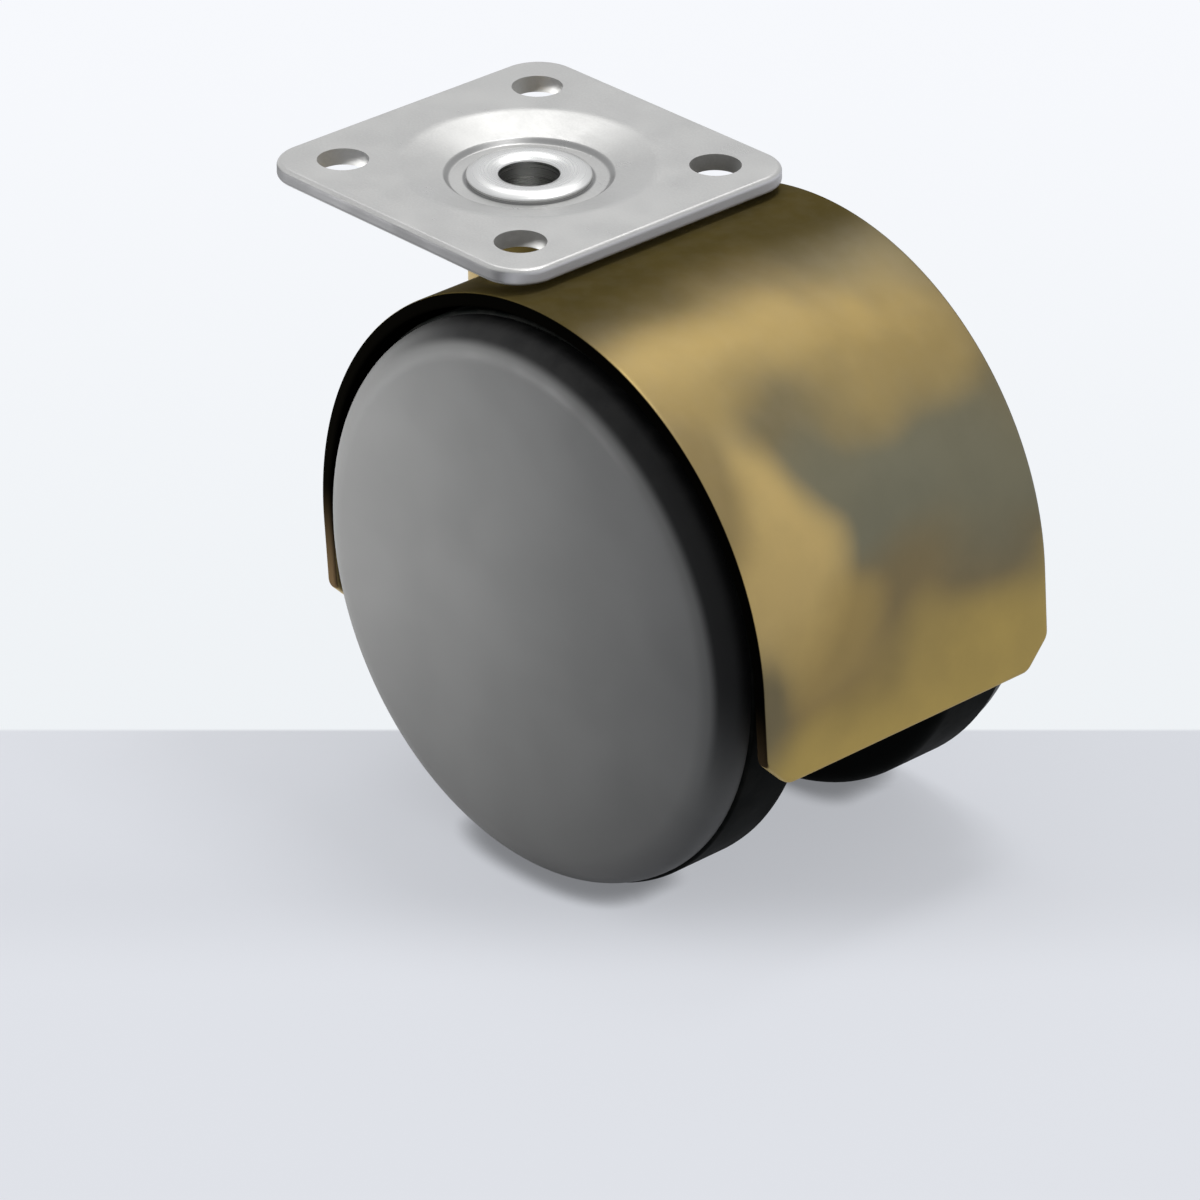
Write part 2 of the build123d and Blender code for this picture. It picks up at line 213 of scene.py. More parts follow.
class Effect:
    """A node group that several finishes share, built once."""

    NAME = "effect"
    INPUTS: dict[str, tuple[str, object]] = {}
    OUTPUTS: dict[str, str] = {}

    @classmethod
    def group(cls) -> bpy.types.NodeTree:
        """The group's tree.

        Returns:
            The tree, which is built the first time that it is asked for.
        """
        made = bpy.data.node_groups.get(cls.NAME)
        if made is not None:
            return made
        group = bpy.data.node_groups.new(cls.NAME, "ShaderNodeTree")
        for name, (kind, value) in cls.INPUTS.items():
            group.interface.new_socket(name=name, in_out="INPUT", socket_type=kind).default_value = value
        for name, kind in cls.OUTPUTS.items():
            group.interface.new_socket(name=name, in_out="OUTPUT", socket_type=kind)
        tree = Tree(group)
        given = tree.add("NodeGroupInput").outputs
        result = tree.add("NodeGroupOutput")
        for name, socket in cls.wire(tree, given).items():
            group.links.new(socket, result.inputs[name])
        return group

    @classmethod
    def wire(cls, tree: Tree, given: Outputs) -> dict[str, Socket]:
        """Builds what is inside the group.

        Args:
            tree: the group's tree.
            given: the group's inputs.

        Returns:
            The socket behind each output.
        """
        raise NotImplementedError

    @classmethod
    def use(cls, tree: Tree, **inputs: object) -> Outputs:
        """Places the group in a material.

        Args:
            tree: the material's tree.
            **inputs: the value or socket of each input, with _ for a space in its name.

        Returns:
            The group's outputs.
        """
        node = tree.add("ShaderNodeGroup", node_tree=cls.group())
        for name, value in inputs.items():
            tree.feed(node.inputs[name.replace("_", " ")], value)
        return node.outputs


class FineGrain(Effect):
    """The fine tooth of a cast, moulded or plated surface."""

    NAME = "fine grain"
    INPUTS = {"Place": ("NodeSocketVector", (0, 0, 0)), "Size": ("NodeSocketFloat", 0.0003)}
    OUTPUTS = {"Grain": "NodeSocketFloat", "Mottle": "NodeSocketFloat"}

    @classmethod
    def wire(cls, tree: Tree, given: Outputs) -> dict[str, Socket]:
        """Two noises, one at the grain's size and one twenty times as large.

        Args:
            tree: the group's tree.
            given: the group's inputs.

        Returns:
            The socket behind each output.
        """
        per_metre = tree.sum("DIVIDE", 1.0, given["Size"])
        fine = tree.noise(given["Place"], per_metre, 3.0)
        coarse = tree.noise(given["Place"], tree.times(per_metre, 1 / 20), 4.0)
        return {"Grain": fine.outputs["Fac"], "Mottle": coarse.outputs["Fac"]}


class SoftPatches(Effect):
    """Wide patches with soft edges, where a finish has aged or been handled unevenly."""

    NAME = "soft patches"
    INPUTS = {
        "Place": ("NodeSocketVector", (0, 0, 0)),
        "Size": ("NodeSocketFloat", 0.01),
        "Share": ("NodeSocketFloat", 0.5),
        "Edge": ("NodeSocketFloat", 0.15),
    }
    OUTPUTS = {"Mask": "NodeSocketFloat"}

    @classmethod
    def wire(cls, tree: Tree, given: Outputs) -> dict[str, Socket]:
        """A distorted noise, cut at the wanted share with a soft edge.

        Args:
            tree: the group's tree.
            given: the group's inputs.

        Returns:
            The socket behind each output.
        """
        per_metre = tree.sum("DIVIDE", 1.0, given["Size"])
        noise = tree.noise(given["Place"], per_metre, 1.5, Distortion=0.4).outputs["Fac"]
        centre = tree.sum("SUBTRACT", 1.0, given["Share"])
        low = tree.sum("SUBTRACT", centre, given["Edge"])
        high = tree.sum("ADD", centre, given["Edge"])
        return {"Mask": tree.ease(noise, low, high)}


class Hairlines(Effect):
    """Fine straight marks, from rolling, grinding or wiping."""

    NAME = "hairlines"
    INPUTS = {
        "Place": ("NodeSocketVector", (0, 0, 0)),
        "Stretch": ("NodeSocketVector", (40.0, 4000.0, 4000.0)),
        "Share": ("NodeSocketFloat", 0.4),
    }
    OUTPUTS = {"Mask": "NodeSocketFloat", "Height": "NodeSocketFloat"}

    @classmethod
    def wire(cls, tree: Tree, given: Outputs) -> dict[str, Socket]:
        """A noise that is stretched along one direction.

        Args:
            tree: the group's tree.
            given: the group's inputs.

        Returns:
            The socket behind each output.
        """
        stretched = tree.vector("MULTIPLY", given["Place"], given["Stretch"])
        noise = tree.noise(stretched, 1.0, 2.0).outputs["Fac"]
        low = tree.sum("SUBTRACT", 0.85, given["Share"])
        high = tree.sum("ADD", low, 0.12)
        step = tree.add("ShaderNodeMapRange", {"Value": noise, "From Min": low, "From Max": high})
        return {"Mask": step.outputs[0], "Height": noise}


class TurningMarks(Effect):
    """The distance from an axis, and the fine rings that a lathe leaves round it."""

    NAME = "turning marks"
    INPUTS = {
        "Place": ("NodeSocketVector", (0, 0, 0)),
        "Centre": ("NodeSocketVector", (0, 0, 0)),
        "Axis": ("NodeSocketVector", (0, 0, 1)),
        "Pitch": ("NodeSocketFloat", 0.0002),
    }
    OUTPUTS = {"Radius": "NodeSocketFloat", "Rings": "NodeSocketFloat"}

    @classmethod
    def wire(cls, tree: Tree, given: Outputs) -> dict[str, Socket]:
        """Splits the place along and across the axis, and draws a noise along both.

        Args:
            tree: the group's tree.
            given: the group's inputs.

        Returns:
            The socket behind each output.
        """
        offset = tree.vector("SUBTRACT", given["Place"], given["Centre"])
        along = tree.measure("DOT_PRODUCT", offset, given["Axis"])
        across = tree.vector("SUBTRACT", offset, tree.scaled(given["Axis"], along))
        radius = tree.measure("LENGTH", across)
        turned = tree.add("ShaderNodeCombineXYZ", {"X": radius, "Y": along, "Z": 0.0}).outputs[0]
        rings = tree.noise(turned, tree.sum("DIVIDE", 1.0, given["Pitch"]), 2.0).outputs["Fac"]
        return {"Radius": radius, "Rings": rings}


class SettledDust(Effect):
    """Where dust and lint settle: faces that look up, in uneven patches."""

    NAME = "settled dust"
    INPUTS = {"Place": ("NodeSocketVector", (0, 0, 0)), "Amount": ("NodeSocketFloat", 0.1)}
    OUTPUTS = {"Mask": "NodeSocketFloat"}

    @classmethod
    def wire(cls, tree: Tree, given: Outputs) -> dict[str, Socket]:
        """The upward part of the normal, times a noise.

        Args:
            tree: the group's tree.
            given: the group's inputs.

        Returns:
            The socket behind each output.
        """
        upward = tree.ease(tree.facing()["Z"], 0.2, 0.95)
        noise = tree.noise(given["Place"], 1 / (2 * MM), 5.0).outputs["Fac"]
        patchy = tree.times(upward, tree.ease(noise, 0.35, 0.7))
        return {"Mask": tree.times(patchy, given["Amount"])}


@dataclass(frozen=True)
class Finish:
    """What every finish has: a name, a colour and a roughness.

    Attributes:
        name: the material's name.
        colour: its base colour, linear.
        roughness: its mean roughness.
        metallic: 1 for bare metal, 0 for plastic and rubber.
        grain_size: the size of its fine grain.
        grain_depth: how deep that grain is.
    """

    name: str
    colour: Colour
    roughness: float
    metallic: float = 0.0
    grain_size: float = 0.3 * MM
    grain_depth: float = 0.01 * MM

    def material(self) -> bpy.types.Material:
        """The material, built the first time that it is asked for.

        Returns:
            The material of this name.
        """
        made = bpy.data.materials.get(self.name)
        if made is not None:
            return made
        material = bpy.data.materials.new(self.name)
        material.use_nodes = True
        material.diffuse_color = opaque(self.colour)
        tree = Tree(material.node_tree)
        shader = material.node_tree.nodes["Principled BSDF"]
        shader.inputs["Roughness"].default_value = self.roughness
        shader.inputs["Metallic"].default_value = self.metallic
        shader.inputs["Base Color"].default_value = opaque(self.colour)
        self.dress(tree, shader)
        return material

    def dress(self, tree: Tree, shader: Node) -> None:
        """Joins the finish's own detail to the shader.

        Args:
            tree: the material's tree.
            shader: its Principled shader.
        """
        raise NotImplementedError

    def bump(self, tree: Tree, shader: Node, height: Socket, depth: float) -> None:
        """Joins a height to the shader's normal.

        Args:
            tree: the material's tree.
            shader: its shader.
            height: from 0 to 1.
            depth: the real depth of a height of 1.
        """
        node = tree.add("ShaderNodeBump", {"Strength": 1.0, "Distance": depth, "Height": height})
        tree.feed(shader.inputs["Normal"], node.outputs[0])


@dataclass(frozen=True)
class ZincPlate(Finish):
    """Satin zinc plating on pressed sheet: pale and even, duller on the sheared edge, with painted shade on
    that edge but a painted highlight where it faces the rear, and painted shade in the dish's creases.

    Attributes:
        half_side: half the plate's side, past which its sheared edge lies.
        edge_colour: painted shade on the upright sheared edge, on every side but the rear.
        rear_edge_colour: a painted highlight on the sheared edge where it faces the rear.
        crease_radius: of the line where the kingpin's tail is rolled down on the plate.
        step_radius: of the step round the floor of the dish.
        painted_crease_shade_colour: of the painted shade in that line and on that step.
        side_roughening: how much rougher an upright face is.
        side_metallic: how much an upright face still looks like bare metal.
    """

    half_side: float = 19.3 * MM
    edge_colour: Colour = (0.085, 0.085, 0.087)
    rear_edge_colour: Colour = (0.72, 0.72, 0.75)
    crease_radius: float = 6.55 * MM
    step_radius: float = 8.4 * MM
    painted_crease_shade_colour: Colour = (0.16, 0.16, 0.16)
    side_roughening: float = 0.25
    side_metallic: float = 0.35

    def dress(self, tree: Tree, shader: Node) -> None:
        """Plating grain, rolling marks, painted shade in the crease and on the step, and the sheared edge
        with its painted shade and painted rear highlight.

        Args:
            tree: the material's tree.
            shader: its Principled shader.
        """
        place = tree.place()
        grain = FineGrain.use(tree, Place=place, Size=self.grain_size)
        lines = Hairlines.use(tree, Place=place, Stretch=(60.0, 5000.0, 5000.0), Share=0.38)
        handled = SoftPatches.use(tree, Place=place, Size=9.0 * MM, Share=0.5, Edge=0.2)["Mask"]
        facing = tree.facing()
        side = tree.ease(tree.sum("ABSOLUTE", facing["Z"]), 0.25, 0.75, 1.0, 0.0)
        # painted shade on the upright sheared edge, with a painted highlight on the side that faces the rear
        rearward = tree.ease(facing["X"], 0.3, 0.9)
        edge = tree.blend(rearward, opaque(self.edge_colour), opaque(self.rear_edge_colour))
        reach = tree.split(place)
        furthest = tree.sum("MAXIMUM", tree.sum("ABSOLUTE", reach["X"]), tree.sum("ABSOLUTE", reach["Y"]))
        rim = tree.ease(furthest, self.half_side - 3.0 * MM, self.half_side - 0.8 * MM)
        plated = tree.blend(handled, opaque(tinted(self.colour, 0.96)), opaque(tinted(self.colour, 1.03)))
        speckled = tree.blend(tree.ease(grain["Grain"], 0.3, 0.75), plated, opaque(tinted(self.colour, 1.06)))
        radius = tree.measure("LENGTH", tree.vector("MULTIPLY", place, (1.0, 1.0, 0.0)))
        from_crease = tree.sum("ABSOLUTE", tree.sum("SUBTRACT", radius, self.crease_radius))
        from_step = tree.sum("ABSOLUTE", tree.sum("SUBTRACT", radius, self.step_radius))
        # painted shade in the line under the kingpin's rolled tail and on the dish's step
        line = tree.ease(from_crease, 0.05 * MM, 0.3 * MM, 0.9, 0.0)
        step = tree.ease(from_step, 0.1 * MM, 0.4 * MM, 0.6, 0.0)
        crease_shaded = tree.blend(tree.sum("MAXIMUM", line, step), speckled, opaque(self.painted_crease_shade_colour))
        tree.feed(shader.inputs["Base Color"], tree.blend(tree.times(side, rim), crease_shaded, edge))
        rough = tree.ease(grain["Mottle"], 0.3, 0.7, self.roughness - 0.05, self.roughness + 0.06)
        wiped = tree.sum("ADD", rough, tree.times(lines["Mask"], 0.04))
        tree.feed(shader.inputs["Roughness"], tree.sum("ADD", wiped, tree.times(side, self.side_roughening)))
        tree.feed(shader.inputs["Metallic"], tree.ease(side, 0.0, 1.0, self.metallic, self.side_metallic))
        height = tree.sum("ADD", grain["Grain"], tree.times(lines["Height"], 0.5))
        self.bump(tree, shader, height, self.grain_depth)


@dataclass(frozen=True)
class TurnedMetal(Finish):
    """Metal that has been turned on a lathe: fine rings round its axis.

    Attributes:
        axis: the axis that it was turned about.
        centre: a point on that axis.
        pitch: between the rings.
        stain: a darker colour in the hollows of the rings and in soft patches.
        stain_share: how much of the surface the patches cover.
    """

    axis: Axis = Axis.SWIVEL
    centre: Triple = (0.0, 0.0, 0.0)
    pitch: float = 0.15 * MM
    stain: Colour = (0.2, 0.2, 0.2)
    stain_share: float = 0.3

    def dress(self, tree: Tree, shader: Node) -> None:
        """Rings, and soft darker patches.

        Args:
            tree: the material's tree.
            shader: its Principled shader.
        """
        place = tree.place()
        turned = TurningMarks.use(
            tree, Place=place, Centre=self.centre, Axis=self.axis.value, Pitch=self.pitch
        )
        grain = FineGrain.use(tree, Place=place, Size=self.grain_size)
        patches = SoftPatches.use(tree, Place=place, Size=3.0 * MM, Share=self.stain_share, Edge=0.12)["Mask"]
        marks = tree.ease(turned["Rings"], 0.35, 0.7, 0.0, 0.6)
        stained = tree.times(patches, tree.sum("SUBTRACT", 1.0, marks))
        tree.feed(shader.inputs["Base Color"], tree.blend(stained, opaque(self.colour), opaque(self.stain)))
        rough = tree.ease(turned["Rings"], 0.3, 0.7, self.roughness - 0.06, self.roughness + 0.08)
        tree.feed(shader.inputs["Roughness"], tree.sum("ADD", rough, tree.times(stained, 0.1)))
        height = tree.sum("ADD", turned["Rings"], tree.times(grain["Grain"], 0.3))
        self.bump(tree, shader, height, self.grain_depth)


@dataclass(frozen=True)
class Patch:
    """One soft patch of the aged brass, placed round and along the hood.

    Attributes:
        round_degrees: its middle's angle round the arch, from the rear, with 90 at the crown.
        along: its middle's distance along the axle.
        half_round: how many degrees it reaches round the arch.
        half_along: how far it reaches along the axle.
        colour: what it turns the brass to.
        strength: how fully it does so in its middle.
    """

    round_degrees: float
    along: float
    half_round: float
    half_along: float
    colour: Colour
    strength: float = 1.0


GOLD = (0.36, 0.27, 0.085)
PALE_GOLD = (0.46, 0.325, 0.11)
LIGHT_GOLD = (0.58, 0.42, 0.165)
WARM_GOLD = (0.56, 0.40, 0.11)
TAWNY = (0.27, 0.20, 0.085)
OLIVE = (0.185, 0.155, 0.085)
SLATE = (0.195, 0.185, 0.125)
BROWN = (0.25, 0.175, 0.07)
# the colour of the painted shade over the hood's crown, under the plate
SHADE_UMBER = (0.085, 0.064, 0.02)

# how far out a patch ends, as the square of its distance over its half size
PATCH_END = 2.6

HOOD_PATCHES = (
    Patch(49.0, -5.0 * MM, 11.0, 9.0 * MM, OLIVE, 0.8),
    Patch(36.0, 17.0 * MM, 22.0, 10.0 * MM, OLIVE, 0.7),
    Patch(20.0, 7.0 * MM, 22.0, 15.0 * MM, SLATE, 0.9),
    Patch(27.0, -1.5 * MM, 13.0, 7.5 * MM, SLATE, 0.95),
    Patch(3.0, -2.0 * MM, 14.0, 18.0 * MM, BROWN, 0.7),
    Patch(1.0, -19.0 * MM, 16.0, 5.0 * MM, OLIVE, 0.8),
    Patch(66.0, -9.0 * MM, 11.0, 9.0 * MM, PALE_GOLD, 0.6),
    Patch(54.5, 9.0 * MM, 12.0, 10.5 * MM, PALE_GOLD, 0.65),
    Patch(29.0, -13.5 * MM, 18.0, 4.8 * MM, LIGHT_GOLD, 1.0),
    Patch(17.0, -18.5 * MM, 9.0, 4.5 * MM, LIGHT_GOLD, 0.8),
    Patch(7.0, -9.0 * MM, 9.0, 6.0 * MM, PALE_GOLD, 0.6),
    Patch(-8.0, 14.0 * MM, 13.0, 14.0 * MM, WARM_GOLD, 0.8),
    Patch(-20.0, -10.0 * MM, 12.0, 18.0 * MM, WARM_GOLD, 0.9),
    Patch(76.0, 17.0 * MM, 11.0, 8.0 * MM, OLIVE, 0.7),
)


@dataclass(frozen=True)
class AgedBrass(Finish):
    """Satin brass plating on a casting, aged to soft gold, olive and brown patches, with painted shade over
    the crown, inside the arch and on its rim.

    Attributes:
        hood_axis: a point on the axis of the arch.
        patches: the placed patches.
        crown_shade_colour: of the painted shade in a band over the crown, under the plate.
        crown_middle: the angle round the arch of that band's middle.
        crown_reach: how many degrees to each side of it the band is full.
        crown_end: how many degrees to each side of it the band ends.
        drift_pitch: the length over which the patches' edges wander.
        drift_degrees: how far they wander round the arch.
        drift_along: how far they wander along the axle.
        inside_shade_colour: of the near-black painted shade inside the hood and on the face of its rim.
        inside_low_shade_colour: of the lighter, brown painted shade low inside the skirts.
        inside_radius: the arch's inner radius.
        half_width: from the middle of the hood to its rim.
        gloss: the shader's specular level where the plating is sound.
    """

    hood_axis: Triple = (0.0, 0.0, 0.0)
    patches: tuple[Patch, ...] = ()
    crown_shade_colour: Colour = SHADE_UMBER
    crown_middle: float = 104.0
    crown_reach: float = 16.0
    crown_end: float = 40.0
    drift_pitch: float = 11.111 * MM
    drift_degrees: float = 4.0
    drift_along: float = 2.5 * MM
    inside_shade_colour: Colour = (0.0012, 0.0011, 0.0008)
    inside_low_shade_colour: Colour = (0.075, 0.05, 0.026)
    inside_radius: float = 31.1 * MM
    half_width: float = 19.6 * MM
    gloss: float = 0.2

    def dress(self, tree: Tree, shader: Node) -> None:
        """The patches, the painted shade over the crown, inside the arch and on its rim, and the casting's
        grain.

        Args:
            tree: the material's tree.
            shader: its Principled shader.
        """
        place = tree.place()
        offset = tree.split(tree.vector("SUBTRACT", place, self.hood_axis))
        angle = tree.sum("DEGREES", tree.sum("ARCTAN2", offset["Z"], offset["X"]))
        inside_shade = self.inside_shade_mask(tree, offset)
        grain = FineGrain.use(tree, Place=place, Size=self.grain_size)
        mottled = tree.ease(grain["Mottle"], 0.3, 0.7, 0.94, 1.06)
        colour = tree.scaled(self.patched(tree, place, angle, offset["Y"]), mottled)
        dust = SettledDust.use(tree, Place=place, Amount=0.02)["Mask"]
        dusty = tree.blend(dust, colour, opaque((0.5, 0.48, 0.44)))
        # painted shade inside the arch and on its rim: near black high up, turning brown low in the skirts
        low = tree.ease(offset["Z"], -13.0 * MM, 2.0 * MM, 1.0, 0.0)
        bare = tree.blend(low, opaque(self.inside_shade_colour), opaque(self.inside_low_shade_colour))
        tree.feed(shader.inputs["Base Color"], tree.blend(inside_shade, dusty, bare))
        rough = tree.ease(grain["Mottle"], 0.3, 0.7, self.roughness - 0.04, self.roughness + 0.05)
        tree.feed(shader.inputs["Roughness"], tree.sum("ADD", rough, tree.times(inside_shade, 0.25)))
        # the plating is also made dull where shade is painted, over the crown and inside the arch
        dull = tree.sum("MAXIMUM", inside_shade, self.crown_shade_mask(tree, angle))
        tree.feed(shader.inputs["Metallic"], tree.ease(dull, 0.0, 1.0, self.metallic, 0.0))
        tree.feed(shader.inputs["Specular IOR Level"], tree.ease(dull, 0.0, 1.0, self.gloss, 0.0))
        self.bump(tree, shader, grain["Grain"], self.grain_depth)

    def patched(self, tree: Tree, place: Socket, angle: Socket, along: Socket) -> Socket:
        """The plating's colour with its soft patches and the painted shade over the crown.

        Args:
            tree: the material's tree.
            place: the point's place.
            angle: its angle round the arch, in degrees.
            along: its distance along the axle.

        Returns:
            The colour's socket.
        """
        drift = tree.split(tree.noise(place, 1 / self.drift_pitch, 0.5).outputs["Color"])
        round_drift = tree.ease(drift["X"], 0.2, 0.8, -self.drift_degrees, self.drift_degrees)
        along_drift = tree.ease(drift["Y"], 0.2, 0.8, -self.drift_along, self.drift_along)
        shaken_angle = tree.sum("ADD", angle, round_drift)
        shaken_along = tree.sum("ADD", along, along_drift)
        clouds = SoftPatches.use(tree, Place=place, Size=10.0 * MM, Share=0.5, Edge=0.3)["Mask"]
        colour = tree.blend(clouds, opaque(tinted(TAWNY, 0.88)), opaque(tinted(TAWNY, 1.12)))
        for patch in self.patches:
            across = tree.times(tree.sum("SUBTRACT", shaken_angle, patch.round_degrees), 1 / patch.half_round)
            up = tree.times(tree.sum("SUBTRACT", shaken_along, patch.along), 1 / patch.half_along)
            squared = tree.sum("ADD", tree.times(across, across), tree.times(up, up))
            mask = tree.ease(squared, 0.0, PATCH_END, patch.strength, 0.0)
            colour = tree.blend(mask, colour, opaque(patch.colour))
        # painted shade in a band over the crown, under the plate
        return tree.blend(self.crown_shade_mask(tree, shaken_angle), colour, opaque(self.crown_shade_colour))

    def crown_shade_mask(self, tree: Tree, angle: Socket) -> Socket:
        """Where shade is painted over the crown, under the plate.

        Args:
            tree: the material's tree.
            angle: the point's angle round the arch, in degrees.

        Returns:
            The mask's socket.
        """
        past_crown = tree.sum("ABSOLUTE", tree.sum("SUBTRACT", angle, self.crown_middle))
        return tree.ease(past_crown, self.crown_reach, self.crown_end, 0.97, 0.0)

    def inside_shade_mask(self, tree: Tree, offset: Outputs) -> Socket:
        """Where shade is painted: inside the arch, and on the face of its rim.

        Args:
            tree: the material's tree.
            offset: the point's place from the arch's axis, split.

        Returns:
            The mask's socket.
        """
        radial = tree.add("ShaderNodeCombineXYZ", {"X": offset["X"], "Y": 0.0, "Z": offset["Z"]})
        radius = tree.measure("LENGTH", radial.outputs[0])
        inside = tree.ease(radius, self.inside_radius + 0.05 * MM, self.inside_radius + 0.25 * MM, 1.0, 0.0)
        sideways = tree.sum("ABSOLUTE", tree.facing()["Y"])
        furthest = tree.sum("ABSOLUTE", offset["Y"])
        near_rim = tree.ease(furthest, self.half_width - 0.5 * MM, self.half_width - 0.2 * MM)
        return tree.sum("MAXIMUM", inside, tree.times(tree.ease(sideways, 0.35, 0.6), near_rim))


@dataclass(frozen=True)
class MouldedPlastic(Finish):
    """Satin moulded plastic or soft rubber, with a fine even tooth.

    Attributes:
        centre: a point on the wheel's axis.
        worn_radius: the radius past which the piece is rubbed paler, or 0 for none.
        worn_colour: the colour that rubbing brings out.
        dust: how much dust shows on it.
        gloss: the shader's specular level.
        edge_radius: the radius at which painted shade on the rounded edge begins, or 0 for none.
        edge_width: over which that painted shade deepens.
        edge_colour: of that painted shade.
        painted_shade_side: the direction from the axle on which the painted shade is deepest.
        mould_pitch: between the faint rings that the turned mould leaves.
    """

    centre: Triple = (0.0, 0.0, 0.0)
    worn_radius: float = 0.0
    worn_colour: Colour = (0.1, 0.1, 0.1)
    dust: float = 0.05
    gloss: float = 0.5
    edge_radius: float = 0.0
    edge_width: float = 1.5 * MM
    edge_colour: Colour = (0.02, 0.02, 0.02)
    painted_shade_side: Triple = (0.57, 0.0, 0.82)
    mould_pitch: float = 0.5 * MM

    def dress(self, tree: Tree, shader: Node) -> None:
        """Grain, faint turning marks of the mould, rubbing at the rim, painted shade on one side of the
        rounded edge, and dust.

        Args:
            tree: the material's tree.
            shader: its Principled shader.
        """
        place = tree.place()
        grain = FineGrain.use(tree, Place=place, Size=self.grain_size)
        turned = TurningMarks.use(
            tree, Place=place, Centre=self.centre, Axis=Axis.AXLE.value, Pitch=self.mould_pitch
        )
        clouds = SoftPatches.use(tree, Place=place, Size=12.0 * MM, Share=0.5, Edge=0.25)["Mask"]
        colour = tree.blend(clouds, opaque(tinted(self.colour, 0.94)), opaque(tinted(self.colour, 1.06)))
        if self.worn_radius:
            scuffs = SoftPatches.use(tree, Place=place, Size=2.0 * MM, Share=0.45, Edge=0.1)["Mask"]
            rim = tree.ease(turned["Radius"], self.worn_radius - 0.8 * MM, self.worn_radius)
            worn = tree.times(tree.times(rim, scuffs), 0.5)
            colour = tree.blend(worn, colour, opaque(self.worn_colour))
        # painted shade on the rounded edge, deepest on the side that painted_shade_side points to
        if self.edge_radius:
            edge = tree.ease(turned["Radius"], self.edge_radius, self.edge_radius + self.edge_width)
            offset = tree.vector("SUBTRACT", place, self.centre)
            towards = tree.measure("DOT_PRODUCT", offset, self.painted_shade_side)
            shaded_side = tree.ease(towards, 0.12 * self.edge_radius, 0.7 * self.edge_radius)
            colour = tree.blend(tree.times(edge, shaded_side), colour, opaque(self.edge_colour))
        dust = SettledDust.use(tree, Place=place, Amount=self.dust)["Mask"]
        tree.feed(shader.inputs["Base Color"], tree.blend(dust, colour, opaque((0.4, 0.39, 0.37))))
        shader.inputs["Specular IOR Level"].default_value = self.gloss
        rough = tree.ease(grain["Mottle"], 0.3, 0.7, self.roughness - 0.04, self.roughness + 0.05)
        tree.feed(shader.inputs["Roughness"], tree.sum("ADD", rough, tree.times(dust, 0.3)))
        height = tree.sum("ADD", grain["Grain"], tree.times(turned["Rings"], 0.3))
        self.bump(tree, shader, height, self.grain_depth)


def middle(node: str) -> Triple:
    """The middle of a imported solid's box."""
    return tuple((low + high) / 2 for low, high in zip(*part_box(node)))


HOOD_DROP = 0.36 * MM
AXLE_CENTRE = middle("axle")
HOOD_CENTRE = (AXLE_CENTRE[0], 0.0, AXLE_CENTRE[2] - HOOD_DROP)

ZINC = ZincPlate(
    name="zinc_plating",
    colour=(0.455, 0.452, 0.44),
    roughness=0.32,
    metallic=0.85,
    grain_size=0.25 * MM,
    grain_depth=0.0015 * MM,
)
BRIGHT_ZINC = TurnedMetal(
    name="zinc_plated_stem",
    colour=(0.57, 0.57, 0.56),
    roughness=0.3,
    metallic=1.0,
    grain_depth=0.0005 * MM,
    stain=(0.48, 0.48, 0.48),
)
SPRING = TurnedMetal(
    name="oiled_spring_steel",
    colour=(0.16, 0.16, 0.17),
    roughness=0.34,
    metallic=1.0,
    grain_depth=0.004 * MM,
    stain=(0.09, 0.075, 0.06),
    stain_share=0.5,
)
BRONZE = TurnedMetal(
    name="greased_bush_bronze",
    colour=(0.45, 0.30, 0.12),
    roughness=0.32,
    metallic=1.0,
    grain_depth=0.004 * MM,
    stain=(0.16, 0.11, 0.06),
)
GROUND = TurnedMetal(
    name="ground_axle_steel",
    colour=(0.46, 0.46, 0.47),
    roughness=0.24,
    metallic=1.0,
    grain_depth=0.002 * MM,
    axis=Axis.AXLE,
    centre=AXLE_CENTRE,
    stain=(0.24, 0.23, 0.21),
)
AXLE_SPRING = replace(SPRING, name="oiled_spring_cap", axis=Axis.AXLE, centre=AXLE_CENTRE)
AXLE_ZINC = replace(
    GROUND,
    name="zinc_plated_spacer",
    colour=(0.56, 0.56, 0.55),
    roughness=0.32,
    grain_depth=0.003 * MM,
    stain=(0.38, 0.38, 0.38),
)
BRASS = AgedBrass(
    name="aged_brass_plating",
    colour=GOLD,
    roughness=0.45,
    metallic=0.5,
    grain_size=0.35 * MM,
    grain_depth=0.005 * MM,
    hood_axis=HOOD_CENTRE,
    patches=HOOD_PATCHES,
)
COVER = MouldedPlastic(
    name="satin_grey_cover",
    colour=(0.104, 0.104, 0.102),
    roughness=0.5,
    grain_size=0.2 * MM,
    grain_depth=0.002 * MM,
    centre=AXLE_CENTRE,
    dust=0.02,
    gloss=0.12,
    # painted shade on the cover's rounded rim, on its upper side towards the rear
    edge_radius=27.4 * MM,
    edge_width=1.0 * MM,
    edge_colour=(0.009, 0.009, 0.009),
)
NYLON = MouldedPlastic(
    name="black_moulded_nylon",
    colour=(0.01, 0.01, 0.01),
    roughness=0.5,
    grain_size=0.25 * MM,
    grain_depth=0.005 * MM,
    centre=AXLE_CENTRE,
    dust=0.02,
    gloss=0.15,
)
TREAD = MouldedPlastic(
    name="soft_black_tread",
    colour=(0.002, 0.0026, 0.0022),
    roughness=0.6,
    grain_size=0.2 * MM,
    grain_depth=0.005 * MM,
    centre=AXLE_CENTRE,
    worn_radius=30.0 * MM,
    worn_colour=(0.009, 0.009, 0.008),
    dust=0.004,
    gloss=0.02,
)


